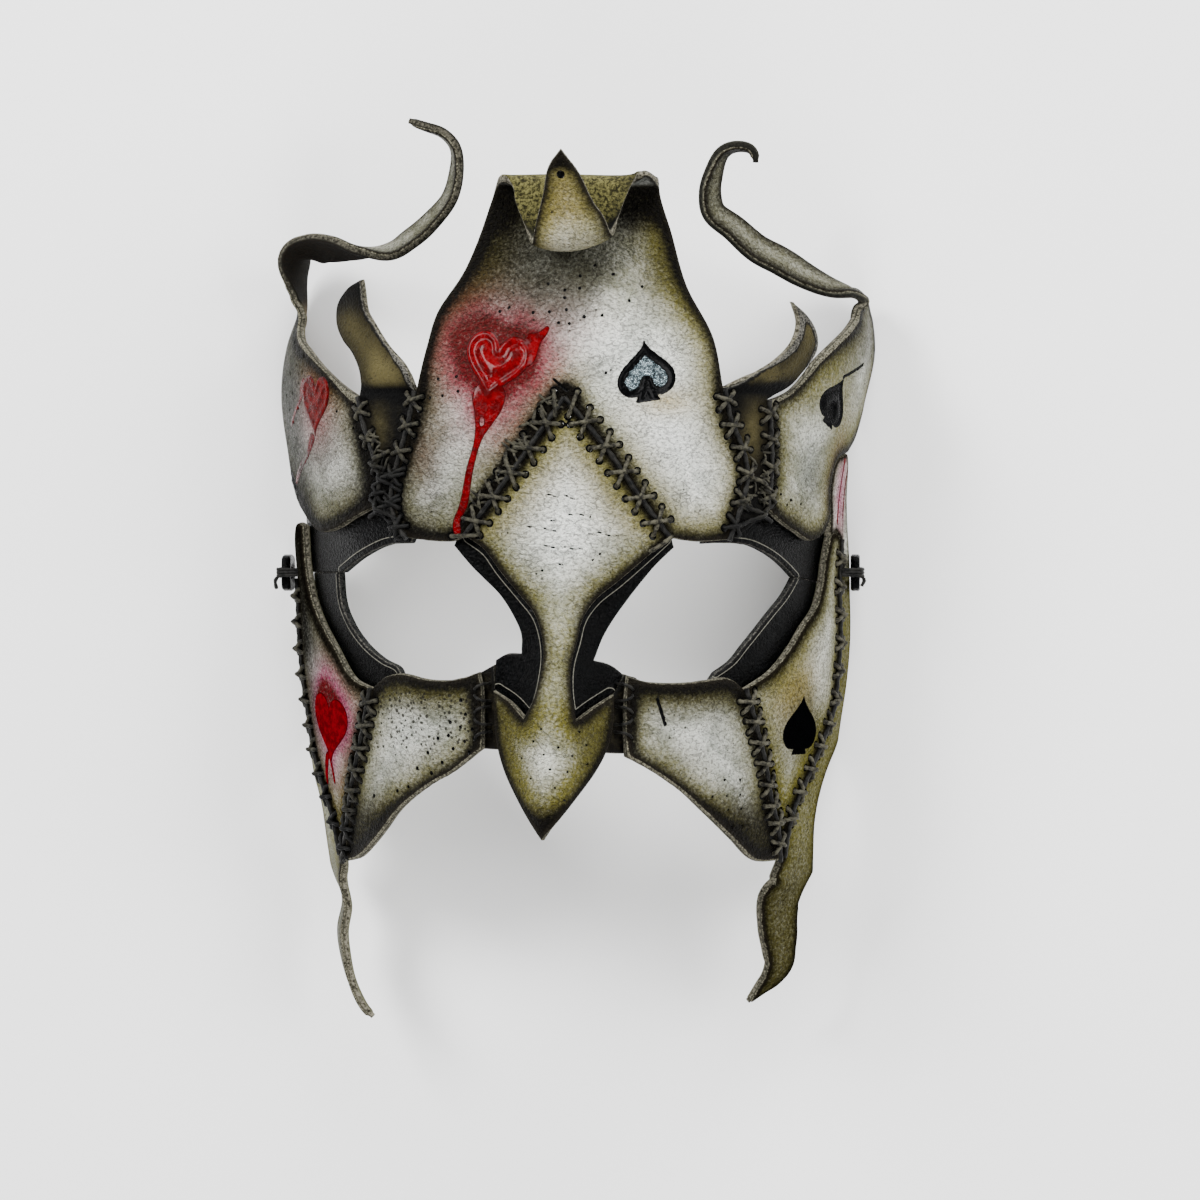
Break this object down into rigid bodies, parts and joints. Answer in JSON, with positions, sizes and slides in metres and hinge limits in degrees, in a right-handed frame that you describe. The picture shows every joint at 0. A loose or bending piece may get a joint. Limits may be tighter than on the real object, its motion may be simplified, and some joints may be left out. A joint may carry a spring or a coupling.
{
  "type": "laced leather jester face mask",
  "caption": "Upper-face jester mask of wet-formed leather panels laced edge to edge, with curled horns, a folded crown tongue and a pointed nose; lies face up.",
  "frame": {"origin": "middle of the bounding box, on the surface the mask lies on", "axes": "+Z out of the face, +Y from jaw to crown, +X to the viewer's right as the face is looked at"},
  "size_m": [0.1632, 0.2424, 0.0938],
  "materials": {
    "grey_leather": "airbrushed grey-white with olive edges, satin",
    "dark_leather": "brown-black with worn grain, satin",
    "black_leather": "black, semi-gloss",
    "lace": "taupe lacing thread, matt"
  },
  "bodies": {
    "root": {"crown_panel": "grey_leather", "nose_panel": "grey_leather", "left_wing": "grey_leather", "right_wing": "grey_leather", "left_cheek": "grey_leather", "right_cheek": "grey_leather", "left_side_panel": "grey_leather", "right_side_panel": "grey_leather", "left_jaw_strip": "grey_leather", "right_jaw_strip": "grey_leather", "left_gusset": "dark_leather", "right_gusset": "dark_leather", "left_nose_gusset": "dark_leather", "right_nose_gusset": "dark_leather", "left_eye_strip_inner": "black_leather", "right_eye_strip_inner": "black_leather", "left_brow_band": "black_leather", "right_brow_band": "black_leather", "left_eye_rim_outer": "black_leather", "right_eye_rim_outer": "black_leather", "left_strap_tab": "black_leather", "right_strap_tab": "black_leather", "lace_diamond_left": "lace", "lace_diamond_right": "lace", "lace_crown_left": "lace", "lace_crown_right": "lace", "lace_wing_left": "lace", "lace_wing_right": "lace", "lace_cheek_left": "lace", "lace_cheek_right": "lace", "lace_jaw_left": "lace", "lace_jaw_right": "lace"}
  },
  "joints": []
}
